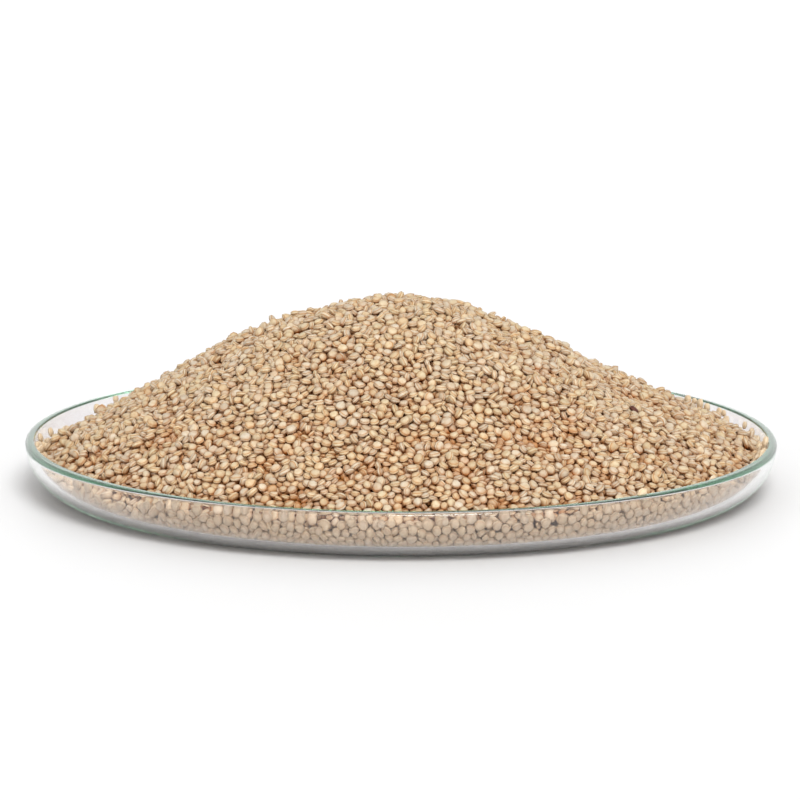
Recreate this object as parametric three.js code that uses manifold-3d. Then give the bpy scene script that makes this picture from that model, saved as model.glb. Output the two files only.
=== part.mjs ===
// A shallow clear glass dish with a heap of dry white quinoa in it.
// Millimetres, +Z up. The origin is the middle of the dish's flat base, on the table.

import * as THREE from 'three';
import { mergeVertices } from 'three/addons/utils/BufferGeometryUtils.js';
import Module from 'manifold-3d';

const rad = THREE.MathUtils.degToRad;

// The dish: one sheet of glass, flat in the middle and bent up into a short steep wall.
const DISH_RADIUS = 75; // widest, at the rim
const DISH_HEIGHT = 10.3; // top of the rim above the table
const GLASS = 1.8; // thickness of the sheet, everywhere
const BEND_RADIUS = 9.5; // outside of the bend between base and wall
const WALL_ANGLE = rad(84); // wall above the level
const DISH_SIDES = 64;
const BEND_STEPS = 5;
const OUTER_ROUND = 0.9; // radius of the rim's outer corner
const INNER_ROUND = 0.25; // and of its inner corner, with a narrow flat between them
const OUTER_STEPS = 3;
const INNER_STEPS = 2;

// The heap: a broad cone, rounder on its left (-X) side, that meets the wall under the rim.
const PEAK_HEIGHT = 39.0;
const PEAK_X = 4.1;
const SLOPE = { middle: 0.7, swing: -0.25 }; // fall of the flank far from the peak
const ROUNDING = { middle: 51, swing: -48.8 }; // how far out the flank reaches that fall
const HEAP_GAP = 0.4; // clearance between the grains and the glass
const HUMPS = [ // low swells (+) and hollows (-) left by pouring: place, height, reach
  { x: -73, y: 3, height: 1.4, reach: 9 },
  { x: -62, y: 20, height: -1.2, reach: 9 },
  { x: -50, y: 14, height: -0.4, reach: 7 },
  { x: -27, y: 8, height: 0.9, reach: 12 },
  { x: -7, y: 4, height: 0.6, reach: 6 },
  { x: 8, y: 4, height: -1.1, reach: 7 },
  { x: 31, y: 6, height: 1.6, reach: 8 },
  { x: 71, y: 8, height: 0.6, reach: 8 },
  { x: -20, y: -40, height: 0.7, reach: 12 },
  { x: 26, y: -46, height: -0.6, reach: 11 },
  { x: -18, y: 46, height: 0.6, reach: 12 },
  { x: 27, y: 44, height: -0.6, reach: 11 },
];

// The grains: flattened discs about 2 mm across.
const GRAIN_RADIUS = 1.0;
const GRAIN_HALF_THICKNESS = 0.62;
const GRAIN_SIDES = 6;
const HEAP_RINGS = 30; // rings of surface points, one grain's width and a bit apart
const WALL_ROWS = 5; // rows of surface points down the glass
const TOP_UNEVEN = 0.3; // tops of the surface's grains lie this far down at most
const GAP_DEPTH = { least: 0.9, most: 1.3 }; // gaps between those grains
const WALL_GAP_DEPTH = 0.9; // gaps between the grains that lie against the glass
const LOOSE_GRAINS = 80;
const LOOSE_SPACING = 7;
const LOOSE_REACH = 67; // loose grains lie inside this radius
const LOOSE_LIFT = 0.3; // their middles above the grain top they lie on
const SEED = 20;

// ---- materials ----

const glass = new THREE.MeshStandardMaterial({
  color: 0xdfeae4, roughness: 0.05, metalness: 0, transparent: true, opacity: 0.35,
});
const quinoa = new THREE.MeshStandardMaterial({ color: 0xcaab89, roughness: 0.75, metalness: 0 });

// ---- the dish ----

const upWall = new THREE.Vector2(Math.cos(WALL_ANGLE), Math.sin(WALL_ANGLE));
const intoDish = new THREE.Vector2(-Math.sin(WALL_ANGLE), Math.cos(WALL_ANGLE));

// Middles of the two corners' arcs: the outer arc is the widest, the inner one the highest.
const cornersUp = OUTER_ROUND - INNER_ROUND;
const cornersApart = GLASS - OUTER_ROUND - INNER_ROUND;
const cornersRise = upWall.y * cornersUp + intoDish.y * cornersApart;
const outerCorner = new THREE.Vector2(
  DISH_RADIUS - OUTER_ROUND,
  DISH_HEIGHT - INNER_ROUND - cornersRise,
);
const innerCorner = outerCorner.clone()
  .addScaledVector(upWall, cornersUp)
  .addScaledVector(intoDish, cornersApart);
const wallTop = outerCorner.clone().addScaledVector(intoDish, -OUTER_ROUND); // on the outer face

// Middle of the bend's arc, so that the wall's outer face runs up to the rim's outer corner.
const bendTop = BEND_RADIUS * (1 - Math.cos(WALL_ANGLE));
const wallLength = (wallTop.y - bendTop) / Math.sin(WALL_ANGLE);
const bendCentre = wallTop.x - wallLength * upWall.x - BEND_RADIUS * Math.sin(WALL_ANGLE);

// Point of the bend at an angle above the level, on the surface this far inside the outer face.
function bendPoint(angle, inside) {
  const radius = BEND_RADIUS - inside;
  return new THREE.Vector2(
    bendCentre + radius * Math.sin(angle),
    BEND_RADIUS - radius * Math.cos(angle),
  );
}

// Quarter of a round, from the direction away from the dish to the direction up the wall when
// it is the outer corner, and on into the dish when it is the inner one.
function cornerPoints(middle, radius, from, steps) {
  const points = [];
  for (let i = 0; i <= steps; i++) {
    const turn = from + (Math.PI * i) / (2 * steps);
    points.push(middle.clone()
      .addScaledVector(intoDish, -radius * Math.cos(turn))
      .addScaledVector(upWall, radius * Math.sin(turn)));
  }
  return points;
}

// The sheet's section on one side, up the outer face, over the rim and back down the inner face.
function dishSection() {
  const outer = [];
  const inner = [];
  for (let i = 0; i <= BEND_STEPS; i++) {
    const angle = (WALL_ANGLE * i) / BEND_STEPS;
    outer.push(bendPoint(angle, 0));
    inner.push(bendPoint(angle, GLASS));
  }
  const rim = [
    ...cornerPoints(outerCorner, OUTER_ROUND, 0, OUTER_STEPS),
    ...cornerPoints(innerCorner, INNER_ROUND, Math.PI / 2, INNER_STEPS),
  ];
  return [new THREE.Vector2(0, 0), ...outer, ...rim, ...inner.reverse(), new THREE.Vector2(0, GLASS)];
}

function makeDish() {
  const geometry = new THREE.LatheGeometry(dishSection(), DISH_SIDES);
  geometry.rotateX(Math.PI / 2); // the lathe's axis is Y
  const dish = new THREE.Mesh(geometry, glass);
  dish.name = 'dish';
  return dish;
}

// ---- the heap ----

// Repeatable random numbers from 0 to 1 (mulberry32).
function randomSource(seed) {
  let state = seed;
  return () => {
    state = (state + 0x6d2b79f5) | 0;
    let t = Math.imul(state ^ (state >>> 15), 1 | state);
    t = (t + Math.imul(t ^ (t >>> 7), 61 | t)) ^ t;
    return ((t ^ (t >>> 14)) >>> 0) / 4294967296;
  };
}

const random = randomSource(SEED);
const randomBetween = (low, high) => low + (high - low) * random();

// Height of the heap's surface: parabola-round at the peak, then a straight fall down the flank.
function heapHeight(x, y) {
  const out = Math.hypot(x - PEAK_X, y) + 1e-9;
  const rightward = (x - PEAK_X) / out;
  const slope = SLOPE.middle + SLOPE.swing * rightward;
  const rounding = ROUNDING.middle + ROUNDING.swing * rightward;
  let height = PEAK_HEIGHT - (slope * out * out) / (out + rounding);
  for (const hump of HUMPS) {
    const off = Math.hypot(x - hump.x, y - hump.y) / hump.reach;
    height += hump.height * Math.exp(-off * off);
  }
  return height;
}

// Where the grains' outer skin runs down the glass: a point at a distance below the rim's corner.
const skinInside = GLASS + HEAP_GAP;
const bendLength = (BEND_RADIUS - skinInside) * WALL_ANGLE;
const skinLength = wallLength + bendLength;
const skinTop = wallTop.clone().addScaledVector(intoDish, skinInside);

function skinPoint(down, inset) {
  if (down < wallLength) {
    return skinTop.clone().addScaledVector(upWall, -down).addScaledVector(intoDish, inset);
  }
  const angle = (WALL_ANGLE * (skinLength - down)) / bendLength;
  return bendPoint(angle, skinInside + inset);
}

// Distance below the rim's corner at which the heap's surface meets the glass, in one direction.
function skinStart(direction) {
  const edge = heapHeight(skinTop.x * Math.cos(direction), skinTop.x * Math.sin(direction));
  return Math.max(0, (skinTop.y - edge) / Math.sin(WALL_ANGLE));
}

// How far below the heap's outline a surface point lies: half are tops, half are gaps.
function surfaceDip() {
  if (random() < 0.5) return TOP_UNEVEN * random();
  return randomBetween(GAP_DEPTH.least, GAP_DEPTH.most);
}

// The surface points of the core: rings of 6, 12, 18 ... like a honeycomb from the peak out
// to the glass, then rows down the glass, then the middle of the flat underside. Each point
// is a grain's top or the gap beside it.
function corePoints() {
  const points = [[0, 0, heapHeight(0, 0)]];
  const edgeRing = 6 * HEAP_RINGS;
  for (let ring = 1; ring < HEAP_RINGS; ring++) {
    const count = 6 * ring;
    for (let i = 0; i < count; i++) {
      const direction = (2 * Math.PI * (i + randomBetween(-0.2, 0.2))) / count;
      const reach = skinPoint(skinStart(direction), 0).x;
      const radius = (reach * (ring + randomBetween(-0.2, 0.2))) / HEAP_RINGS;
      const x = radius * Math.cos(direction);
      const y = radius * Math.sin(direction);
      points.push([x, y, heapHeight(x, y) - surfaceDip()]);
    }
  }
  for (let row = 0; row <= WALL_ROWS; row++) {
    for (let i = 0; i < edgeRing; i++) {
      const direction = (2 * Math.PI * i) / edgeRing;
      const start = skinStart(direction);
      const down = start + ((skinLength - start) * row) / WALL_ROWS;
      const inset = row < WALL_ROWS ? WALL_GAP_DEPTH * random() : 0;
      const at = skinPoint(down, inset);
      points.push([at.x * Math.cos(direction), at.x * Math.sin(direction), at.y]);
    }
  }
  points.push([0, 0, skinInside]);
  return points;
}

// The triangles between those points. Ring n starts at point 1 + 3 n (n - 1).
function coreTriangles() {
  const triangles = [];
  const ringStart = (ring) => (ring === 0 ? 0 : 1 + 3 * ring * (ring - 1));
  const onRing = (ring, i) => (ring === 0 ? 0 : ringStart(ring) + (i % (6 * ring)));
  for (let ring = 0; ring < HEAP_RINGS; ring++) {
    for (let sector = 0; sector < 6; sector++) {
      for (let i = 0; i <= ring; i++) {
        const inner = sector * ring + i;
        const outer = sector * (ring + 1) + i;
        triangles.push(onRing(ring, inner), onRing(ring + 1, outer), onRing(ring + 1, outer + 1));
        if (i < ring) {
          triangles.push(onRing(ring, inner), onRing(ring + 1, outer + 1), onRing(ring, inner + 1));
        }
      }
    }
  }
  const edgeRing = 6 * HEAP_RINGS;
  const edge = ringStart(HEAP_RINGS);
  const onRow = (row, i) => edge + row * edgeRing + (i % edgeRing);
  const underside = edge + (WALL_ROWS + 1) * edgeRing;
  for (let i = 0; i < edgeRing; i++) {
    for (let row = 0; row < WALL_ROWS; row++) {
      triangles.push(onRow(row, i), onRow(row + 1, i), onRow(row + 1, i + 1));
      triangles.push(onRow(row, i), onRow(row + 1, i + 1), onRow(row, i + 1));
    }
    triangles.push(onRow(WALL_ROWS, i), underside, onRow(WALL_ROWS, i + 1));
  }
  return triangles;
}

function coreGeometry(points) {
  const geometry = new THREE.BufferGeometry();
  geometry.setAttribute('position', new THREE.Float32BufferAttribute(points.flat(), 3));
  geometry.setIndex(coreTriangles());
  return geometry;
}

// One grain: a disc with domed faces and a rounded belt, few-sided.
function grainGeometry() {
  const belt = [[0, -1], [1, -0.5], [1, 0.5], [0, 1]];
  const section = belt.map(([out, up]) => (
    new THREE.Vector2(out * GRAIN_RADIUS, up * GRAIN_HALF_THICKNESS)
  ));
  return new THREE.LatheGeometry(section, GRAIN_SIDES).rotateX(Math.PI / 2);
}

// Places for the loose grains: grain tops picked at random, no two nearer than the spacing.
function loosePlaces(points) {
  const isTop = ([x, y, z]) => (
    Math.hypot(x, y) < LOOSE_REACH && z > heapHeight(x, y) - TOP_UNEVEN
  );
  const tops = points.filter(isTop).map(([x, y, z]) => new THREE.Vector3(x, y, z + LOOSE_LIFT));
  const places = [];
  while (places.length < LOOSE_GRAINS) {
    const place = tops[Math.floor(random() * tops.length)];
    if (places.every((other) => other.distanceTo(place) > LOOSE_SPACING)) places.push(place);
  }
  return places;
}

// A closed geometry as a solid that can be joined.
function toSolid(wasm, geometry) {
  const bare = geometry.clone();
  bare.deleteAttribute('normal');
  bare.deleteAttribute('uv');
  const merged = mergeVertices(bare, 1e-4);
  const corners = merged.index.array;
  const triangles = [];
  for (let i = 0; i < corners.length; i += 3) {
    const [a, b, c] = [corners[i], corners[i + 1], corners[i + 2]];
    if (a !== b && b !== c && c !== a) triangles.push(a, b, c);
  }
  return new wasm.Manifold(new wasm.Mesh({
    numProp: 3,
    vertProperties: new Float32Array(merged.attributes.position.array),
    triVerts: new Uint32Array(triangles),
  }));
}

function toGeometry(solid) {
  const mesh = solid.getMesh();
  const geometry = new THREE.BufferGeometry();
  geometry.setAttribute('position', new THREE.BufferAttribute(mesh.vertProperties, 3));
  geometry.setIndex(new THREE.BufferAttribute(mesh.triVerts, 1));
  geometry.computeVertexNormals();
  return geometry;
}

function makeHeap(wasm) {
  const points = corePoints();
  let solid = toSolid(wasm, coreGeometry(points));
  const grain = grainGeometry();
  for (const place of loosePlaces(points)) {
    const size = randomBetween(0.9, 1.12);
    const turn = new THREE.Euler(randomBetween(-0.7, 0.7), randomBetween(-0.7, 0.7), random());
    const placed = new THREE.Matrix4().compose(
      place,
      new THREE.Quaternion().setFromEuler(turn),
      new THREE.Vector3(size, size, size),
    );
    solid = solid.add(toSolid(wasm, grain.clone().applyMatrix4(placed)));
  }
  const heap = new THREE.Mesh(toGeometry(solid), quinoa);
  heap.name = 'quinoa_heap';
  return heap;
}

// ---- the whole ----

const wasm = await Module();
wasm.setup();

const dishOfQuinoa = new THREE.Group();
dishOfQuinoa.add(makeDish(), makeHeap(wasm));

export default dishOfQuinoa;
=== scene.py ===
# A shallow clear glass dish with a heap of dry white quinoa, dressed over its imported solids.
# Lengths are worked out in millimetres and turned into metres where a mesh is made.

import math

import bpy
import numpy as np
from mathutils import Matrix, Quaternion, Vector


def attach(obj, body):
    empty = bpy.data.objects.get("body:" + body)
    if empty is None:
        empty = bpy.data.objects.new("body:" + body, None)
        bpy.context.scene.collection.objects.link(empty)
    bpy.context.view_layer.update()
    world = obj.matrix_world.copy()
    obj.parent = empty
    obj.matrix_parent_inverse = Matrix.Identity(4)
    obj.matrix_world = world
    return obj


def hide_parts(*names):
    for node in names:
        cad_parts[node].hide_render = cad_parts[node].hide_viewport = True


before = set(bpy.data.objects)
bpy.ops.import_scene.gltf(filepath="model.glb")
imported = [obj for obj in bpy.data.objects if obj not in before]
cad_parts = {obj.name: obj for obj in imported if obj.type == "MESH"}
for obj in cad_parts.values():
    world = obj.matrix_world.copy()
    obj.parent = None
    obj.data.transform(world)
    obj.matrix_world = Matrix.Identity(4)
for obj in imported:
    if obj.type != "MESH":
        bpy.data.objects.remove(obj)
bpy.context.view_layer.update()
MM = 0.001


# ---- Table, light and camera ----
# A plain white table under soft studio light, seen from a little above the rim.
# The table is not part of the object.

RIM_SHOULDER = 9.7  # height of the rim's outer shoulder above the table
VIEW_RISE = math.radians(11.18)  # the camera stands this far above the level of the rim
VIEW_DISTANCE = 1200.0
VIEW_WIDTH = 159.9  # what the picture takes in at the rim's distance
VIEW_ROLL = math.radians(0.18)  # the camera is held a hair off level
AIM_ABOVE_RIM = 7.7  # the picture's middle, up from the rim's middle in the picture's own plane
AIM_LEFT = 0.25
SENSOR_WIDTH = 36.0
TABLE_REACH = 4000.0
TABLE_DROP = 0.05  # the table lies this far under the dish, so that no two faces share a plane
ROOM_LIGHT = 0.62  # strength of the room's even white light
GLOWS = [  # brighter parts of the room: spans over which they grow, back and up, and light added
    ((0.2, 0.9), (0.55, 0.25), 0.7),
    ((-0.5, -0.95), (0.45, 0.15), 2.8),
]
LIGHT_BOUNCES = 64


def srgb(red, green, blue):
    """A colour given as 0 to 255 in sRGB, turned into the linear light that shaders take."""
    share = np.array([red, green, blue]) / 255.0
    linear = np.where(share <= 0.04045, share / 12.92, ((share + 0.055) / 1.055) ** 2.4)
    return (*linear.tolist(), 1.0)


def add_camera():
    """The camera stands on a line that rises from the rim's middle and looks a little above it."""
    level = Vector((0.0, math.cos(VIEW_RISE), -math.sin(VIEW_RISE)))
    picture_up = Vector((0.0, math.sin(VIEW_RISE), math.cos(VIEW_RISE)))
    rim_middle = Vector((0.0, 0.0, RIM_SHOULDER))
    aim = rim_middle + picture_up * AIM_ABOVE_RIM - Vector((AIM_LEFT, 0.0, 0.0))
    stand = rim_middle - level * VIEW_DISTANCE
    camera = bpy.data.objects.new("camera", bpy.data.cameras.new("camera"))
    camera.data.sensor_width = SENSOR_WIDTH
    camera.data.lens = SENSOR_WIDTH * VIEW_DISTANCE / VIEW_WIDTH
    camera.data.clip_end = 20.0
    camera.location = stand * MM
    camera.rotation_mode = "QUATERNION"
    roll = Quaternion((0.0, 0.0, 1.0), VIEW_ROLL)
    camera.rotation_quaternion = (aim - stand).to_track_quat("-Z", "Y") @ roll
    bpy.context.scene.collection.objects.link(camera)
    bpy.context.scene.camera = camera


def add_sun(name, azimuth, height, strength, spread):
    """A broad soft light from far away: azimuth 0 is behind the camera, height is above the level."""
    sun = bpy.data.objects.new(name, bpy.data.lights.new(name, "SUN"))
    sun.data.energy = strength
    sun.data.angle = math.radians(spread)
    turn, rise = math.radians(azimuth), math.radians(height)
    towards = Vector((math.sin(turn) * math.cos(rise), -math.cos(turn) * math.cos(rise), math.sin(rise)))
    sun.rotation_mode = "QUATERNION"
    sun.rotation_quaternion = towards.to_track_quat("Z", "Y")
    bpy.context.scene.collection.objects.link(sun)


def add_table():
    reach = TABLE_REACH * MM
    mesh = bpy.data.meshes.new("table")
    corners = [(-reach, -reach, 0), (reach, -reach, 0), (reach, reach, 0), (-reach, reach, 0)]
    mesh.from_pydata(corners, [], [(0, 1, 2, 3)])
    table = bpy.data.objects.new("table", mesh)
    table.location.z = -TABLE_DROP * MM
    bpy.context.scene.collection.objects.link(table)
    material = bpy.data.materials.new("white_table")
    material.use_nodes = True
    shader = material.node_tree.nodes["Principled BSDF"]
    shader.inputs["Base Color"].default_value = (0.82, 0.82, 0.82, 1.0)
    shader.inputs["Roughness"].default_value = 0.6
    shader.inputs["Specular IOR Level"].default_value = 0.2
    mesh.materials.append(material)


def map_range(nodes, links, value, start, end):
    """A node that runs smoothly from 0 to 1 while a value goes from start to end."""
    node = nodes.new("ShaderNodeMapRange")
    node.interpolation_type = "SMOOTHSTEP"
    node.inputs["From Min"].default_value = start
    node.inputs["From Max"].default_value = end
    links.new(value, node.inputs["Value"])
    return node.outputs["Result"]


def add_surroundings():
    """An even white room, brighter low down behind the dish and more so behind the camera."""
    world = bpy.data.worlds.new("studio")
    world.use_nodes = True
    nodes, links = world.node_tree.nodes, world.node_tree.links
    nodes["Background"].inputs["Color"].default_value = (1.0, 1.0, 1.0, 1.0)
    direction = nodes.new("ShaderNodeSeparateXYZ")
    links.new(nodes.new("ShaderNodeTexCoord").outputs["Generated"], direction.inputs["Vector"])
    strength = None
    for back_span, up_span, light in GLOWS:
        side = map_range(nodes, links, direction.outputs["Y"], *back_span)
        low = map_range(nodes, links, direction.outputs["Z"], *up_span)
        both = nodes.new("ShaderNodeMath")
        both.operation = "MULTIPLY"
        links.new(side, both.inputs[0])
        links.new(low, both.inputs[1])
        added = nodes.new("ShaderNodeMath")
        added.operation = "MULTIPLY_ADD"
        links.new(both.outputs["Value"], added.inputs[0])
        added.inputs[1].default_value = light
        added.inputs[2].default_value = ROOM_LIGHT
        if strength is not None:
            links.new(strength, added.inputs[2])
        strength = added.outputs["Value"]
    links.new(strength, nodes["Background"].inputs["Strength"])
    bpy.context.scene.world = world


def set_studio():
    """Soft light from behind and above and from the front. Light runs a long way inside the sheet
    of glass before it comes out at an edge, so many bounces are allowed."""
    scene = bpy.context.scene
    scene.view_settings.view_transform = "Standard"
    scene.cycles.max_bounces = LIGHT_BOUNCES
    scene.cycles.glossy_bounces = LIGHT_BOUNCES
    scene.cycles.transmission_bounces = LIGHT_BOUNCES
    add_surroundings()
    add_sun("back_softbox", azimuth=180, height=40, strength=0.3, spread=50)
    add_sun("front_softbox", azimuth=15, height=48, strength=2.0, spread=28)


add_camera()
set_studio()
add_table()


# ---- Glass dish ----
# One sheet of clear, faintly green glass, slumped to a flat base and a short steep wall.
# Its rim is polished, with the outer corner well rounded and a narrow flat inside it.

DISH_RADIUS, DISH_HEIGHT = 75.0, 10.3
GLASS = 1.8  # thickness of the sheet
BEND_RADIUS = 9.5  # outside of the bend between base and wall
WALL_ANGLE = math.radians(84.0)
DISH_SIDES = 288
BEND_STEPS = 14
OUTER_ROUND, INNER_ROUND = 0.9, 0.25  # radii of the rim's two corners
OUTER_STEPS, INNER_STEPS = 8, 5
BASE_RINGS = 6

UP_WALL = np.array([math.cos(WALL_ANGLE), math.sin(WALL_ANGLE)])
INTO_DISH = np.array([-math.sin(WALL_ANGLE), math.cos(WALL_ANGLE)])
BETWEEN = (OUTER_ROUND - INNER_ROUND) * UP_WALL + (GLASS - OUTER_ROUND - INNER_ROUND) * INTO_DISH
OUTER_CORNER = np.array([DISH_RADIUS - OUTER_ROUND, DISH_HEIGHT - INNER_ROUND - BETWEEN[1]])
INNER_CORNER = OUTER_CORNER + BETWEEN
WALL_TOP = OUTER_CORNER - OUTER_ROUND * INTO_DISH  # where the outer face ends and the rim begins
WALL_LENGTH = (WALL_TOP[1] - BEND_RADIUS * (1.0 - UP_WALL[0])) / UP_WALL[1]
BEND_CENTRE = WALL_TOP[0] - WALL_LENGTH * UP_WALL[0] - BEND_RADIUS * UP_WALL[1]


def dress(mesh, name, material, node):
    """Makes the mesh an object that rides on the part and stands for one of its solids."""
    piece = bpy.data.objects.new(name, mesh)
    bpy.context.scene.collection.objects.link(piece)
    mesh.materials.append(material)
    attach(piece, "root")
    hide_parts(node)
    return piece


def surface_mesh(name, points, quads, triangles):
    """A smooth-shaded mesh from arrays of points in millimetres, quads and triangles."""
    mesh = bpy.data.meshes.new(name)
    corners = np.concatenate([quads.ravel(), triangles.ravel()]).astype(np.int32)
    sizes = np.repeat([4, 3], [len(quads), len(triangles)])
    starts = np.concatenate([[0], np.cumsum(sizes)[:-1]]).astype(np.int32)
    mesh.vertices.add(len(points))
    mesh.vertices.foreach_set("co", (points * MM).astype(np.float32).ravel())
    mesh.loops.add(len(corners))
    mesh.loops.foreach_set("vertex_index", corners)
    mesh.polygons.add(len(sizes))
    mesh.polygons.foreach_set("loop_start", starts)
    mesh.polygons.foreach_set("use_smooth", np.ones(len(sizes), bool))
    mesh.update(calc_edges=True)
    mesh.validate()
    return mesh


def revolve(section, sides):
    """A section (out, up) that starts and ends on the axis, carried round it. Rows of the grid are
    the section's points, columns the directions, and the two ends close on a single point each."""
    turn = 2.0 * np.pi * np.arange(sides) / sides
    rows = section[1:-1]
    ring = np.stack([np.outer(rows[:, 0], np.cos(turn)), np.outer(rows[:, 0], np.sin(turn))], -1)
    up = np.broadcast_to(rows[:, 1, None, None], (len(rows), sides, 1))
    points = np.concatenate([ring, up], -1).reshape(-1, 3)
    points = np.concatenate([points, [[0, 0, section[0, 1]], [0, 0, section[-1, 1]]]])
    column = np.arange(sides)
    after = (column + 1) % sides
    row = np.arange(len(rows) - 1)[:, None] * sides
    quads = np.stack([row + column, row + after, row + sides + after, row + sides + column], -1)
    last = (len(rows) - 1) * sides
    first_fan = np.stack([np.full(sides, len(points) - 2), after, column], -1)
    last_fan = np.stack([np.full(sides, len(points) - 1), last + column, last + after], -1)
    return points, quads.reshape(-1, 4), np.concatenate([first_fan, last_fan])


def bend_point(angle, inside):
    """Point of the bend at an angle above the level, this far inside the sheet's outer face."""
    radius = BEND_RADIUS - inside
    return np.stack([BEND_CENTRE + radius * np.sin(angle), BEND_RADIUS - radius * np.cos(angle)], -1)


def corner_points(middle, radius, start, steps):
    """Quarter of a round that turns on from a start angle: 0 faces out of the dish, 90 up the wall."""
    turn = np.linspace(start, start + np.pi / 2, steps + 1)[:, None]
    return middle + radius * (np.sin(turn) * UP_WALL - np.cos(turn) * INTO_DISH)


def dish_section():
    """The sheet's section, out along the underside, up the wall, over the rim and back inside."""
    angles = np.linspace(0.0, WALL_ANGLE, BEND_STEPS + 1)
    base_out = np.linspace(0.0, BEND_CENTRE, BASE_RINGS + 1)[:-1]
    underside = np.stack([base_out, np.zeros_like(base_out)], -1)
    floor = np.stack([base_out, np.full_like(base_out, GLASS)], -1)
    outer_corner = corner_points(OUTER_CORNER, OUTER_ROUND, 0.0, OUTER_STEPS)
    inner_corner = corner_points(INNER_CORNER, INNER_ROUND, np.pi / 2, INNER_STEPS)
    outer, inner = bend_point(angles, 0.0), bend_point(angles, GLASS)
    return np.concatenate([underside, outer, outer_corner, inner_corner, inner[::-1], floor[::-1]])


def clear_glass():
    """Clear glass: what light it takes away it takes with depth, red and blue before green."""
    material = bpy.data.materials.new("clear_green_glass")
    material.use_nodes = True
    nodes, links = material.node_tree.nodes, material.node_tree.links
    shader = nodes["Principled BSDF"]
    shader.inputs["Base Color"].default_value = (1.0, 0.967, 0.99, 1.0)
    shader.inputs["Roughness"].default_value = 0.02
    shader.inputs["IOR"].default_value = 1.52
    shader.inputs["Transmission Weight"].default_value = 1.0
    depth = nodes.new("ShaderNodeVolumeAbsorption")
    depth.inputs["Color"].default_value = (0.20, 0.60, 0.375, 1.0)
    depth.inputs["Density"].default_value = 14.0
    links.new(depth.outputs["Volume"], nodes["Material Output"].inputs["Volume"])
    return material


dish_mesh = surface_mesh("glass_dish", *revolve(dish_section(), DISH_SIDES))
dress(dish_mesh, "glass_dish", clear_glass(), "dish")


# ---- Quinoa heap ----
# Some 21,000 dry grains, each a flattened disc about 2 mm across with a raised belt.
# They lie in a broad cone, rounder on its left side, that meets the glass under the rim.

PEAK_HEIGHT, PEAK_X = 39.0, 4.1
SLOPE, SLOPE_SWING = 0.70, -0.25  # fall of the flank far from the peak, and its change to the right
ROUNDING, ROUNDING_SWING = 51.0, -48.8  # how far out the flank reaches that fall
HUMPS = [  # low swells and hollows left by pouring: x, y, height, reach
    (-73, 3, 1.4, 9),
    (-62, 20, -1.2, 9),
    (-50, 14, -0.4, 7),
    (-27, 8, 0.9, 12),
    (-7, 4, 0.6, 6),
    (8, 4, -1.1, 7),
    (31, 6, 1.6, 8),
    (71, 8, 0.6, 8),
    (-20, -40, 0.7, 12),
    (26, -46, -0.6, 11),
    (-18, 46, 0.6, 12),
    (27, 44, -0.6, 11),
]
HEAP_EDGE = 72.7  # the heap's surface reaches this far out
GRAIN_RADIUS, GRAIN_HALF = 1.0, 0.53  # radius of a grain's disc and half its thickness
TOP_LAYER = 3.7  # the grains on top lie within this depth of the heap's surface
WALL_LAYER, BASE_LAYER = 2.7, 1.35  # and those on the glass within this depth of the wall and base
CLEAR_OF_GLASS = 0.03  # a grain that would touch the glass is pressed flat this far off it
TOP_CROWD, WALL_CROWD, BASE_CROWD = 0.90, 0.66, 0.29  # grains to a square millimetre of surface
FLANK_STRETCH = 1.13  # area of the sloping surface over that of its plan
TOP_START, TOP_END = 0.4, 0.5  # grains start this far under the surface and over the layer's floor
WALL_START, WALL_END = 0.5, 2.2  # and between these distances from the glass
WALL_MIDDLE = 70.0  # mean radius of the wall and its bend
LEAST_ROOM = 0.3  # grains that start nearer than this to the surface or the glass are left out
DOUBLED = 0.9  # share of the grains on the glass that give way where the top layer reaches it
CLUMPS = 0.22  # share of the top grains that is missing where the surface is loosest
LIE_LEVEL = 1.0  # how far the grains on top lie level rather than along the surface
GRAIN_SIZE, SIZE_SPREAD, SMALLEST, LARGEST = 0.95, 0.10, 0.72, 1.22  # shares of the grain's radius
TUMBLE, TUMBLE_BESIDE = 0.55, 0.20  # how far grains lean at random, on top and beside the glass
BESIDE_GLASS = 2.0  # grains nearer to the glass than this lie flat against it
SETTLE_TURNS = 120
NEIGHBOUR_TURNS, NEIGHBOUR_REACH = 5, 2.75  # how often, and how far off, touching grains are sought
SHOVE, TWIST = 0.42, 0.35  # how strongly grains that overlap push apart and turn
DRAW, LAST_DRAW = 0.05, 0.004  # how far grains are drawn in at a turn: what fades out, and the rest
GLASS_PUSH, CORE_PUSH = 9.0, 0.3  # how far the glass and the core push a grain out at one turn
GLASS_GIVE, CORE_GIVE = 1.2, 0.3  # and how readily it turns flat against them
SEED = 11
rng = np.random.default_rng(SEED)


def heap_height(x, y):
    """Height of the heap's surface: a parabola at the peak that turns into a straight flank,
    with the flank's fall and roundness changing with direction, and the swells added."""
    out = np.hypot(x - PEAK_X, y) + 1e-9
    rightward = (x - PEAK_X) / out
    rounding = ROUNDING + ROUNDING_SWING * rightward
    height = PEAK_HEIGHT - (SLOPE + SLOPE_SWING * rightward) * out**2 / (out + rounding)
    for hump_x, hump_y, rise, reach in HUMPS:
        height = height + rise * np.exp(-((x - hump_x) ** 2 + (y - hump_y) ** 2) / reach**2)
    return height


def unit(vectors):
    return vectors / np.linalg.norm(vectors, axis=-1, keepdims=True)


def under_surface(at):
    """Depth of points under the heap's surface, and the surface's upward normal over them."""
    x, y = at[:, 0], at[:, 1]
    step = 0.5
    fall_x = (heap_height(x - step, y) - heap_height(x + step, y)) / (2 * step)
    fall_y = (heap_height(x, y - step) - heap_height(x, y + step)) / (2 * step)
    up = unit(np.stack([fall_x, fall_y, np.ones_like(x)], -1))
    return (heap_height(x, y) - at[:, 2]) * up[:, 2], up


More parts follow.
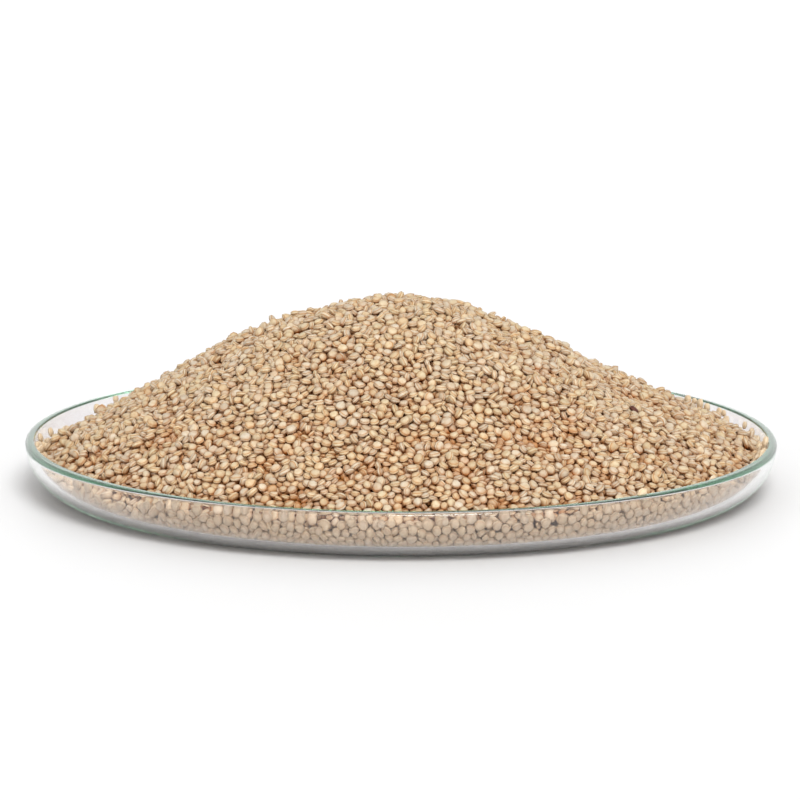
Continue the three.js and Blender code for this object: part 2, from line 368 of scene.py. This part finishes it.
def off_glass(at):
    """Distance of points from the dish's inner face, and the direction away from that face."""
    out = np.hypot(at[:, 0], at[:, 1]) + 1e-9
    right, down = out - BEND_CENTRE, BEND_RADIUS - at[:, 2]
    span = np.hypot(right, down) + 1e-9
    on_base = right <= 0
    on_wall = ~on_base & (np.arctan2(right, down) > WALL_ANGLE)
    bend_end = bend_point(np.array(WALL_ANGLE), GLASS)
    from_wall = (out - bend_end[0]) * INTO_DISH[0] + (at[:, 2] - bend_end[1]) * INTO_DISH[1]
    far = np.where(on_wall, from_wall, BEND_RADIUS - GLASS - span)
    far = np.where(on_base, at[:, 2] - GLASS, far)
    inward = np.where(on_wall, INTO_DISH[0], np.where(on_base, 0.0, -right / span))
    upward = np.where(on_wall, INTO_DISH[1], np.where(on_base, 1.0, down / span))
    return far, np.stack([inward * at[:, 0] / out, inward * at[:, 1] / out, upward], -1)


def glass_layer(at):
    """Depth of the grains that lie on the glass: one grain on the base, two up the wall."""
    share = np.clip((np.hypot(at[:, 0], at[:, 1]) - (BEND_CENTRE - 6.0)) / 6.0, 0.0, 1.0)
    return BASE_LAYER + (WALL_LAYER - BASE_LAYER) * share * share * (3.0 - 2.0 * share)


def scatter_grains():
    """Grains strewn at random through the layer under the surface, the layer on the wall and the
    single layer on the base. Returns their places and which of them lie on the glass."""
    count = int(TOP_CROWD * np.pi * HEAP_EDGE**2 * FLANK_STRETCH)
    out, turn = HEAP_EDGE * np.sqrt(rng.random(count)), rng.uniform(0, 2 * np.pi, count)
    x, y = out * np.cos(turn), out * np.sin(turn)
    top = np.stack([x, y, heap_height(x, y)], -1)
    top -= under_surface(top)[1] * rng.uniform(TOP_START, TOP_LAYER - TOP_END, (count, 1))
    bend = (BEND_RADIUS - GLASS) * WALL_ANGLE
    climb = bend + WALL_LENGTH
    count = int(WALL_CROWD * 2 * np.pi * WALL_MIDDLE * climb)
    along, turn = climb * rng.random(count), rng.uniform(0, 2 * np.pi, count)
    inside = GLASS + rng.uniform(WALL_START, WALL_END, count)
    section = bend_point(np.minimum(along, bend) / bend * WALL_ANGLE, inside)
    section = section + np.maximum(along - bend, 0.0)[:, None] * UP_WALL
    wall = np.stack([section[:, 0] * np.cos(turn), section[:, 0] * np.sin(turn), section[:, 1]], -1)
    count = int(BASE_CROWD * np.pi * BEND_CENTRE**2)
    out, turn = BEND_CENTRE * np.sqrt(rng.random(count)), rng.uniform(0, 2 * np.pi, count)
    base = np.stack([out * np.cos(turn), out * np.sin(turn), np.full(count, GLASS + GRAIN_HALF)], -1)
    at = np.concatenate([top, wall, base])
    on_glass = np.arange(len(at)) >= len(top)
    depth = under_surface(at)[0]
    doubled = on_glass & (depth < TOP_LAYER) & (rng.random(len(at)) < DOUBLED)
    x, y = at[:, 0], at[:, 1]
    crowding = np.sin(x / 1.1 + 1.7 * np.sin(y / 2.3)) * np.sin(y / 1.3 + 1.9 * np.sin(x / 2.9))
    loose = ~on_glass & (rng.random(len(at)) < CLUMPS * (0.5 - 0.5 * crowding))
    keep = (depth > LEAST_ROOM) & (off_glass(at)[0] > LEAST_ROOM) & ~doubled & ~loose
    return at[keep], on_glass[keep]


def near_pairs(at, reach):
    """All pairs of points nearer than reach. The points are sorted into cubes of that size, and
    each cube is set against itself and half of the cubes round it."""
    cube = np.floor(at / reach).astype(np.int64)
    cube -= cube.min(0) - 1
    _, across, high = cube.max(0) + 2
    key = (cube[:, 0] * across + cube[:, 1]) * high + cube[:, 2]
    order = np.argsort(key, kind="stable")
    in_order = key[order]
    steps = [(a, b, c) for a in (-1, 0, 1) for b in (-1, 0, 1) for c in (-1, 0, 1) if (a, b, c) >= (0, 0, 0)]
    firsts, seconds = [], []
    for step in steps:
        other = key + (step[0] * across + step[1]) * high + step[2]
        start = np.searchsorted(in_order, other, "left")
        count = np.searchsorted(in_order, other, "right") - start
        first = np.repeat(np.arange(len(at)), count)
        within = np.arange(count.sum()) - np.repeat(np.cumsum(count) - count, count)
        second = order[np.repeat(start, count) + within]
        keep = ((at[first] - at[second]) ** 2).sum(1) < reach * reach
        if step == (0, 0, 0):
            keep &= first < second
        firsts.append(first[keep])
        seconds.append(second[keep])
    return np.concatenate(firsts), np.concatenate(seconds)


FLATNESS = ((GRAIN_HALF / GRAIN_RADIUS) ** 2 - 1) / ((GRAIN_HALF / GRAIN_RADIUS) ** 2 + 1)


def touching(along, axis_a, axis_b):
    """How near two like flattened grains come along a line between them, as a share of their
    diameter, by the Gaussian overlap of their shapes, and how that changes with each axis."""
    a, b, c = (along * axis_a).sum(1), (along * axis_b).sum(1), (axis_a * axis_b).sum(1)
    plus, minus = (a + b) / (1 + FLATNESS * c), (a - b) / (1 - FLATNESS * c)
    share = (1 - FLATNESS / 2 * ((a + b) * plus + (a - b) * minus)) ** -0.5
    by_c = FLATNESS**2 / 2 * (plus * plus - minus * minus)
    scale = -0.5 * share**3
    turn_a = scale[:, None] * (-FLATNESS * (plus + minus)[:, None] * along + by_c[:, None] * axis_b)
    turn_b = scale[:, None] * (-FLATNESS * (plus - minus)[:, None] * along + by_c[:, None] * axis_a)
    return share, turn_a, turn_b


def summed(count, index, vectors):
    """The vectors added up by index."""
    return np.stack([np.bincount(index, vectors[:, k], count) for k in range(3)], -1)


def keep_clear(at, axis, size, room, away, most, give):
    """Moves grains out of a wall that lies this far off in the direction opposite to away, by no
    more than most, and turns them flatter against it."""
    lean = (away * axis).sum(1)
    reach = np.sqrt(GRAIN_RADIUS**2 * (1 - lean**2).clip(0) + (GRAIN_HALF * lean) ** 2) * size
    into = np.clip(reach - room, 0.0, most)[:, None]
    at += away * into
    axis += away * (into * give * (GRAIN_RADIUS**2 - GRAIN_HALF**2) * (lean / reach)[:, None])


def settle(at, on_glass):
    """Lets the strewn grains settle. At each turn they are drawn towards what carries them, the
    heap under the surface or the glass, and those that overlap push each other apart and turn."""
    count = len(at)
    size = np.clip(rng.normal(GRAIN_SIZE, SIZE_SPREAD, count), SMALLEST, LARGEST)
    room, away = off_glass(at)
    beside = (on_glass | (room < BESIDE_GLASS))[:, None]
    facing = np.where(beside, away, under_surface(at)[1] + [0.0, 0.0, LIE_LEVEL])
    tumble = np.where(beside, TUMBLE_BESIDE, TUMBLE)
    axis = unit(unit(facing) + tumble * rng.normal(0.0, 1.0, (count, 3)))
    for turn in range(SETTLE_TURNS):
        if turn % NEIGHBOUR_TURNS == 0:
            first, second = near_pairs(at, NEIGHBOUR_REACH)
        gap = at[second] - at[first]
        distance = np.linalg.norm(gap, axis=1) + 1e-9
        along = gap / distance[:, None]
        share, turn_a, turn_b = touching(along, axis[first], axis[second])
        overlap = share * GRAIN_RADIUS * (size[first] + size[second]) - distance
        hit = overlap > 0
        a, b, deep = first[hit], second[hit], overlap[hit][:, None]
        shove = along[hit] * deep * SHOVE
        touches = np.bincount(a, minlength=count) + np.bincount(b, minlength=count)
        moved = summed(count, b, shove) - summed(count, a, shove)
        at = at + moved / np.sqrt(np.maximum(touches, 1))[:, None]
        axis = axis - TWIST * (summed(count, a, turn_a[hit] * deep) + summed(count, b, turn_b[hit] * deep))
        draw = DRAW * (1 - turn / SETTLE_TURNS) + LAST_DRAW
        at -= np.where(on_glass[:, None], off_glass(at)[1], under_surface(at)[1]) * draw
        room, away = off_glass(at)
        keep_clear(at, axis, size, room, away, GLASS_PUSH, GLASS_GIVE)
        room, away = off_glass(at)
        depth, up = under_surface(at)
        above_core, beside_core = TOP_LAYER - depth, glass_layer(at) - room
        on_top = above_core > beside_core
        outside = np.where(on_top, above_core, beside_core)
        keep_clear(at, axis, size, outside, np.where(on_top[:, None], up, -away), CORE_PUSH, CORE_GIVE)
        axis = unit(axis)
    return at, axis, size


SEEN_CELL = 0.3  # size of a cell of the grids on which the grains' cover is counted
SPOTS = 40  # points spread over each grain, which are looked for in every view
# The views, as azimuth and height in degrees: straight down, straight up and three rounds.
SEEN_FROM = [(0, 90), (0, -90)] + [(turn, rise) for rise in (-12, 12, 40) for turn in range(0, 360, 45)]
SEEN_WELL, SEEN_PARTLY = 16, 8  # cells that a grain covers when most of it, or a fair part, is seen
FROM_BELOW = 3  # through the base the grains are seen faintly, so it takes this many times the cells


def sample_ball(count):
    """Points spread evenly over a ball by the golden angle."""
    up = 1.0 - (2.0 * np.arange(count) + 1.0) / count
    turn = np.arange(count) * np.pi * (3.0 - math.sqrt(5.0))
    flat = np.sqrt(1.0 - up * up)
    return np.stack([flat * np.cos(turn), flat * np.sin(turn), up], -1)


def grain_frames(axis, spin):
    """Three unit directions for each grain: two across its disc, turned by its spin, and its axis."""
    helper = np.where(np.abs(axis[:, :1]) < 0.8, [[1.0, 0.0, 0.0]], [[0.0, 1.0, 0.0]])
    side = unit(np.cross(axis, helper))
    other = np.cross(axis, side)
    turned = side * np.cos(spin)[:, None] + other * np.sin(spin)[:, None]
    return np.stack([turned, np.cross(axis, turned), axis], 1)


def count_seen(at, axis, size):
    """How many cells of the view grids each grain covers, the most over all the views. The view
    straight from below counts for less."""
    ball = sample_ball(SPOTS) * [GRAIN_RADIUS, GRAIN_RADIUS, GRAIN_HALF]
    spots = at[:, None] + (ball @ grain_frames(axis, np.zeros(len(at)))) * size[:, None, None]
    spots = spots.reshape(-1, 3)
    owner = np.repeat(np.arange(len(at)), len(ball))
    most = np.zeros(len(at), int)
    for azimuth, height in SEEN_FROM:
        turn, rise = math.radians(azimuth), math.radians(height)
        right = np.array([math.cos(turn), math.sin(turn), 0.0])
        back = np.array([math.sin(turn) * math.cos(rise), -math.cos(turn) * math.cos(rise), math.sin(rise)])
        up = np.cross(back, right)
        cell = np.floor(np.stack([spots @ right, spots @ up], -1) / SEEN_CELL).astype(np.int64)
        cell -= cell.min(0)
        key = cell[:, 0] * (cell[:, 1].max() + 1) + cell[:, 1]
        order = np.lexsort((-(spots @ back), key))
        first = np.concatenate([[True], key[order][1:] != key[order][:-1]])
        cells = np.bincount(owner[order[first]], minlength=len(at))
        most = np.maximum(most, cells // FROM_BELOW if height == -90 else cells)
    return most


grain_at, on_glass = scatter_grains()
grain_at, grain_axis, grain_size = settle(grain_at, on_glass)
seen = count_seen(grain_at, grain_axis, grain_size)

# The grain's section for each fineness: rows of (out, up) as shares of the radius and of the
# half thickness, from one face to the other, the height of a face's middle, and the sides.
FINE = {"rows": [(0.62, 0.86), (0.96, 0.45), (0.96, -0.45), (0.62, -0.86)], "pole": 0.93, "sides": 8}
PLAIN = {"rows": [(0.74, 0.76), (1.0, 0.0), (0.74, -0.76)], "pole": 0.95, "sides": 7}
COARSE = {"rows": [(0.88, 0.55), (0.88, -0.55)], "pole": 0.95, "sides": 6}


# How far grains differ from a plain round disc, as shares of the radius and the half thickness.
OVAL, THREE_SIDED, BEAK, NOTCH = 0.15, 0.07, 0.22, 0.30
UNEVEN_THICKNESS, WEDGE = 0.22, 0.30
WIDENED = 1.03  # makes up for the facets, which lie inside the round outline
SHADE_BY_DEPTH, SHADE_UNDERNEATH = 0.52, 0.72  # how much painted shade browns a grain deeper down and underneath


def grain_batch(form, pick):
    """Many grains as one set of arrays. A grain is rows carried round its axis. Its radius swells
    and dips round the disc, with a beak where the belt's ends meet, and it is wedge-shaped, some
    grains more than others. What would lie in the glass is pressed flat against it."""
    rows, sides = np.array(form["rows"]), form["sides"]
    count = len(pick)
    turn = 2 * np.pi * np.arange(sides) / sides
    draws = rng.random((count, 8))
    wave = 1.0 + OVAL * (draws[:, :1] - 0.35) * np.cos(2 * turn + 6.3 * draws[:, 1:2])
    wave += THREE_SIDED * draws[:, 6:7] * np.cos(3 * turn + 6.3 * draws[:, 2:3])
    wave += BEAK * draws[:, 3:4] ** 2 * np.exp(-((turn - np.pi) ** 2) / 0.20)
    wave -= NOTCH * draws[:, 3:4] ** 2 * np.exp(-((turn - 1.2 * np.pi) ** 2) / 0.10)
    thick = 1.0 + UNEVEN_THICKNESS * (draws[:, 7:8] - 0.5)
    thick = thick + WEDGE * draws[:, 4:5] * np.cos(turn + 6.3 * draws[:, 5:6])
    out = rows[None, :, 0, None] * wave[:, None, :]
    up = rows[None, :, 1, None] * thick[:, None, :]
    ring = np.stack([out * np.cos(turn), out * np.sin(turn), np.broadcast_to(up, out.shape)], -1)
    poles = np.broadcast_to([[0, 0, form["pole"]], [0, 0, -form["pole"]]], (count, 2, 3))
    local = np.concatenate([ring.reshape(count, -1, 3), poles], 1)
    frames = grain_frames(grain_axis[pick], rng.uniform(0, 2 * np.pi, count))
    radius = GRAIN_RADIUS * WIDENED
    sized = local * [radius, radius, GRAIN_HALF] * grain_size[pick][:, None, None]
    points = (grain_at[pick][:, None] + sized @ frames).reshape(-1, 3)
    room, away = off_glass(points)
    points += away * (CLEAR_OF_GLASS - room).clip(0.0)[:, None]
    column, row = np.arange(sides), np.arange(len(rows) - 1)[:, None] * sides
    after = (column + 1) % sides
    quads = np.stack([row + column, row + sides + column, row + sides + after, row + after], -1)
    last, top = (len(rows) - 1) * sides, len(rows) * sides
    fans = [
        np.stack([np.full(sides, top), column, after], -1),
        np.stack([np.full(sides, top + 1), last + after, last + column], -1),
    ]
    offset = (np.arange(count) * local.shape[1])[:, None, None]
    quads = (quads.reshape(1, -1, 4) + offset).reshape(-1, 4)
    fans = (np.concatenate(fans)[None] + offset).reshape(-1, 3)
    tone = np.repeat(rng.random(count), local.shape[1])
    depth, up = under_surface(points)
    centre = np.repeat(grain_at[pick], local.shape[1], 0)
    underside = (0.3 + ((centre - points) * up).sum(1) / GRAIN_RADIUS).clip(0.0)
    room = off_glass(points)[0]
    # Painted shade: points deeper under the heap's surface and on the undersides of grains are browned, less
    # so near the glass.
    painted_shade = (SHADE_BY_DEPTH * (depth - 1.3) + SHADE_UNDERNEATH * underside).clip(0.0, 1.0)
    painted_shade = painted_shade * (room / 3.0 - 0.3).clip(0.0, 1.0)
    # Painted light: points within 2.6 mm of the glass are paled towards a light colour.
    painted_light = (1.3 - room / 2.0).clip(0.0, 0.5)
    return points, quads, fans, local.reshape(-1, 3), np.stack([tone, painted_shade, painted_light], -1)


def grains_mesh(name, picks):
    """One mesh of many grains. Each point carries its place in its own grain, and its state: the
    grain's tone, how much painted shade browns it where it is tucked or deep, and how much painted light
    pales it beside the glass."""
    points, quads, fans, lies, states = [], [], [], [], []
    total = 0
    for form, pick in picks:
        batch = grain_batch(form, pick)
        points.append(batch[0])
        quads.append(batch[1] + total)
        fans.append(batch[2] + total)
        lies.append(batch[3])
        states.append(batch[4])
        total += len(batch[0])
    mesh = surface_mesh(name, np.concatenate(points), np.concatenate(quads), np.concatenate(fans))
    for label, rows in (("lie", lies), ("state", states)):
        attribute = mesh.attributes.new(label, "FLOAT_VECTOR", "POINT")
        attribute.data.foreach_set("vector", np.concatenate(rows).astype(np.float32).ravel())
    return mesh


def ramp(nodes, stops):
    """A colour ramp node with these (place, colour) stops."""
    node = nodes.new("ShaderNodeValToRGB")
    elements = node.color_ramp.elements
    while len(elements) < len(stops):
        elements.new(0.5)
    for element, (place, colour) in zip(elements, stops):
        element.position = place
        element.color = colour
    return node


def mixed(nodes, links, blend, factor, first, second):
    """A colour mix node. Each of its three inputs is a constant or another node's output."""
    node = nodes.new("ShaderNodeMix")
    node.data_type, node.blend_type = "RGBA", blend
    for socket, given in (("Factor", factor), ("A", first), ("B", second)):
        if isinstance(given, bpy.types.NodeSocket):
            links.new(given, node.inputs[socket])
        else:
            node.inputs[socket].default_value = given
    return node.outputs["Result"]


BLACK, WHITE = (0.0, 0.0, 0.0, 1.0), (1.0, 1.0, 1.0, 1.0)
# MOTTLE is the coat's own mottling; the second colour is painted light, mixed in beside the glass.
MOTTLE, PAINTED_LIGHT_COAT = srgb(246, 236, 224), srgb(246, 224, 190)
# Painted shade: brown multiplied into the grooves beside the belt and into grains tucked between others or
# lying deep.
GROOVE_SHADE_BROWN, PAINTED_SHADE_BROWN = srgb(218, 170, 118), srgb(222, 150, 48)


def grain_finish(name, coat):
    """The seed coat: each grain has its own tone of the coat's colour, with fine mottling, and a
    groove on either side of its belt that fades out over the shoulder, browned by painted shade.
    Where it is tucked between its neighbours or lies deep a grain is browned by painted shade, and
    beside the glass it is paled by painted light. Places are read in the grain's own frame."""
    material = bpy.data.materials.new(name)
    material.use_nodes = True
    nodes, links = material.node_tree.nodes, material.node_tree.links
    shader = nodes["Principled BSDF"]
    read = {}
    for label in ("lie", "state"):
        attribute = nodes.new("ShaderNodeAttribute")
        attribute.attribute_name = label
        parts = nodes.new("ShaderNodeSeparateXYZ")
        links.new(attribute.outputs["Vector"], parts.inputs["Vector"])
        read[label] = attribute.outputs["Vector"], *parts.outputs
    lie, _, _, up = read["lie"]
    _, tone, painted_shade, painted_light = read["state"]
    toned = ramp(nodes, [(0.0, srgb(*coat * 0.96)), (1.0, srgb(*coat * 1.04))])
    links.new(tone, toned.inputs["Fac"])
    off_middle = nodes.new("ShaderNodeMath")
    off_middle.operation = "ABSOLUTE"
    links.new(up, off_middle.inputs[0])
    faint = (0.35, 0.35, 0.35, 1.0)
    groove = ramp(nodes, [(0.30, BLACK), (0.45, WHITE), (0.58, faint), (0.88, BLACK)])
    links.new(off_middle.outputs["Value"], groove.inputs["Fac"])
    own_place = nodes.new("ShaderNodeVectorMath")
    own_place.operation = "MULTIPLY_ADD"
    links.new(tone, own_place.inputs[0])
    own_place.inputs[1].default_value = (90.0, 70.0, 50.0)
    links.new(lie, own_place.inputs[2])
    mottle = nodes.new("ShaderNodeTexNoise")
    mottle.inputs["Scale"].default_value = 1.5
    mottle.inputs["Detail"].default_value = 3.0
    links.new(own_place.outputs["Vector"], mottle.inputs["Vector"])
    shade = ramp(nodes, [(0.35, MOTTLE), (0.60, WHITE)])
    links.new(mottle.outputs["Fac"], shade.inputs["Fac"])
    colour = mixed(nodes, links, "MULTIPLY", 1.0, toned.outputs["Color"], shade.outputs["Color"])
    # Painted shade: the groove is darkened brown; its relief comes from the bump below.
    colour = mixed(nodes, links, "MULTIPLY", groove.outputs["Color"], colour, GROOVE_SHADE_BROWN)
    # Painted shade: brown multiplied in where a point is tucked between grains or lies deep.
    colour = mixed(nodes, links, "MULTIPLY", painted_shade, colour, PAINTED_SHADE_BROWN)
    # Painted light: beside the glass the colour is mixed towards a pale coat.
    colour = mixed(nodes, links, "MIX", painted_light, colour, PAINTED_LIGHT_COAT)
    links.new(colour, shader.inputs["Base Color"])
    height = nodes.new("ShaderNodeMath")
    height.operation = "SUBTRACT"
    links.new(mottle.outputs["Fac"], height.inputs[0])
    links.new(groove.outputs["Color"], height.inputs[1])
    bump = nodes.new("ShaderNodeBump")
    bump.inputs["Strength"].default_value = 0.7
    bump.inputs["Distance"].default_value = 0.06 * MM
    links.new(height.outputs["Value"], bump.inputs["Height"])
    links.new(bump.outputs["Normal"], shader.inputs["Normal"])
    shader.inputs["Roughness"].default_value = 0.6
    shader.inputs["Specular IOR Level"].default_value = 0.3
    return material


def add_grains(name, index, coat):
    """The grains of one kind. How finely each is made follows how much of it can be seen."""
    picks = [
        (FINE, index[seen[index] >= SEEN_WELL]),
        (PLAIN, index[(seen[index] >= SEEN_PARTLY) & (seen[index] < SEEN_WELL)]),
        (COARSE, index[(seen[index] >= 1) & (seen[index] < SEEN_PARTLY)]),
    ]
    picks = [(form, pick) for form, pick in picks if len(pick)]
    mesh = grains_mesh("quinoa_" + name, picks)
    finish = grain_finish("quinoa_coat_" + name, np.array(coat))
    dress(mesh, "quinoa_" + name, finish, "quinoa_heap")


KINDS = [  # name, share of the grains, and colour of the coat
    ("ivory", 0.19, (204, 191, 170)),
    ("cream", 0.19, (204, 188, 162)),
    ("sand", 0.17, (206, 189, 159)),
    ("straw", 0.16, (203, 186, 154)),
    ("honey", 0.14, (204, 182, 148)),
    ("salmon", 0.09, (199, 180, 155)),
    ("grey", 0.06, (196, 181, 160)),
]
STRAY = (46.0, -18.5)  # where the one dark red grain lies
STRAY_COAT = (96, 58, 50)

shares = np.cumsum([kind[1] for kind in KINDS])
kind_of = np.searchsorted(shares, rng.random(len(grain_at)) * shares[-1])
seen_well = np.flatnonzero((seen >= SEEN_WELL) & (under_surface(grain_at)[0] < 1.2))
stray = seen_well[np.argmin(np.hypot(*(grain_at[seen_well, :2] - STRAY).T))]
kind_of[stray] = len(KINDS)
for number, (name, _, coat) in enumerate(KINDS):
    add_grains(name, np.flatnonzero(kind_of == number), coat)
add_grains("red", np.array([stray]), STRAY_COAT)


# ---- Core of the heap ----
# The mass of grains under the outermost layers, where nothing but shaded grains shows through
# the gaps. It is a closed body with relief of a grain's size, dark brown under the surface with painted
# shade.

CORE_GAP = 0.25  # the layers of loose grains end this far off the core
CORE_RINGS, CORE_SIDES, CORE_WALL_ROWS, CORE_BASE_RINGS = 70, 260, 8, 20
CORE_RELIEF, CORE_GRAIN = 0.35, 2.1  # height of the relief and length of its waves
CORE_WALL = 9.0  # length of the core's side from its edge to its base
EDGE_ROUNDS = 12  # rounds in which the core's edge is found


def relief(across, along):
    """Bumps of a grain's size: two crossed waves, bent by a slower one."""
    across, along = across * 2 * np.pi / CORE_GRAIN, along * 2 * np.pi / CORE_GRAIN
    over, up = np.sin(across + 1.3 * np.sin(along / 2.7)), np.sin(along + 1.1 * np.sin(across / 3.1))
    return CORE_RELIEF * over * up


def core_rows():
    """Rows of points from the peak out under the surface, down beside the wall and in over the base.
    In each direction the edge is where the surface layer's floor meets the wall layer."""
    turn = 2 * np.pi * np.arange(CORE_SIDES) / CORE_SIDES
    reach = BEND_RADIUS - GLASS - WALL_LAYER - CORE_GAP
    edge = np.full(CORE_SIDES, BEND_CENTRE + reach)
    for _ in range(EDGE_ROUNDS):
        height = heap_height(edge * np.cos(turn), edge * np.sin(turn)) - TOP_LAYER - CORE_GAP
        angle = np.arccos(np.clip((BEND_RADIUS - height) / reach, 0.0, 1.0))
        edge = BEND_CENTRE + reach * np.sin(angle)
    rows = []
    for share in np.arange(1, CORE_RINGS) / CORE_RINGS:
        x, y = share * edge * np.cos(turn), share * edge * np.sin(turn)
        at = np.stack([x, y, heap_height(x, y)], -1)
        rows.append(at - under_surface(at)[1] * (TOP_LAYER + CORE_GAP + relief(x, y))[:, None])
    for share in np.linspace(1.0, 0.0, CORE_WALL_ROWS + 1)[1:-1]:
        layer = BASE_LAYER + (WALL_LAYER - BASE_LAYER) * share
        bumps = relief(turn * BEND_CENTRE, share * CORE_WALL)
        section = bend_point(angle * share, GLASS + layer + CORE_GAP + bumps)
        rows.append(np.stack([section[:, 0] * np.cos(turn), section[:, 0] * np.sin(turn), section[:, 1]], -1))
    for share in np.linspace(1.0, 0.0, CORE_BASE_RINGS + 1)[:-1]:
        x, y = share * BEND_CENTRE * np.cos(turn), share * BEND_CENTRE * np.sin(turn)
        rows.append(np.stack([x, y, GLASS + BASE_LAYER + CORE_GAP + relief(x, y)], -1))
    return np.stack(rows)


def core_mesh():
    rows = core_rows()
    middles = [[0.0, 0.0, heap_height(0.0, 0.0) - TOP_LAYER], [0.0, 0.0, GLASS + BASE_LAYER + CORE_GAP]]
    points = np.concatenate([rows.reshape(-1, 3), middles])
    column = np.arange(CORE_SIDES)
    after = (column + 1) % CORE_SIDES
    row = np.arange(len(rows) - 1)[:, None] * CORE_SIDES
    quads = np.stack([row + column, row + CORE_SIDES + column, row + CORE_SIDES + after, row + after], -1)
    last = (len(rows) - 1) * CORE_SIDES
    peak = np.stack([np.full(CORE_SIDES, len(points) - 2), column, after], -1)
    floor = np.stack([np.full(CORE_SIDES, len(points) - 1), last + after, last + column], -1)
    mesh = surface_mesh("quinoa_core", points, quads.reshape(-1, 4), np.concatenate([peak, floor]))
    # The part under the surface takes the dark brown of painted shade.
    hidden = np.arange(len(points)) < (CORE_RINGS - 1) * CORE_SIDES
    painted_shade = mesh.attributes.new("painted_shade", "FLOAT", "POINT")
    painted_shade.data.foreach_set("value", hidden.astype(np.float32))
    return mesh


def core_finish():
    """Shaded grains, as painted shade: dark brown under the surface, and paler beside the glass, which lets
    light in.
    """
    material = bpy.data.materials.new("shaded_quinoa")
    material.use_nodes = True
    nodes, links = material.node_tree.nodes, material.node_tree.links
    painted_shade = nodes.new("ShaderNodeAttribute")
    painted_shade.attribute_name = "painted_shade"
    shades = srgb(198, 172, 146), srgb(108, 60, 24)
    colour = mixed(nodes, links, "MIX", painted_shade.outputs["Fac"], *shades)
    links.new(colour, nodes["Principled BSDF"].inputs["Base Color"])
    nodes["Principled BSDF"].inputs["Roughness"].default_value = 0.9
    nodes["Principled BSDF"].inputs["Specular IOR Level"].default_value = 0.1
    return material


dress(core_mesh(), "quinoa_core", core_finish(), "quinoa_heap")
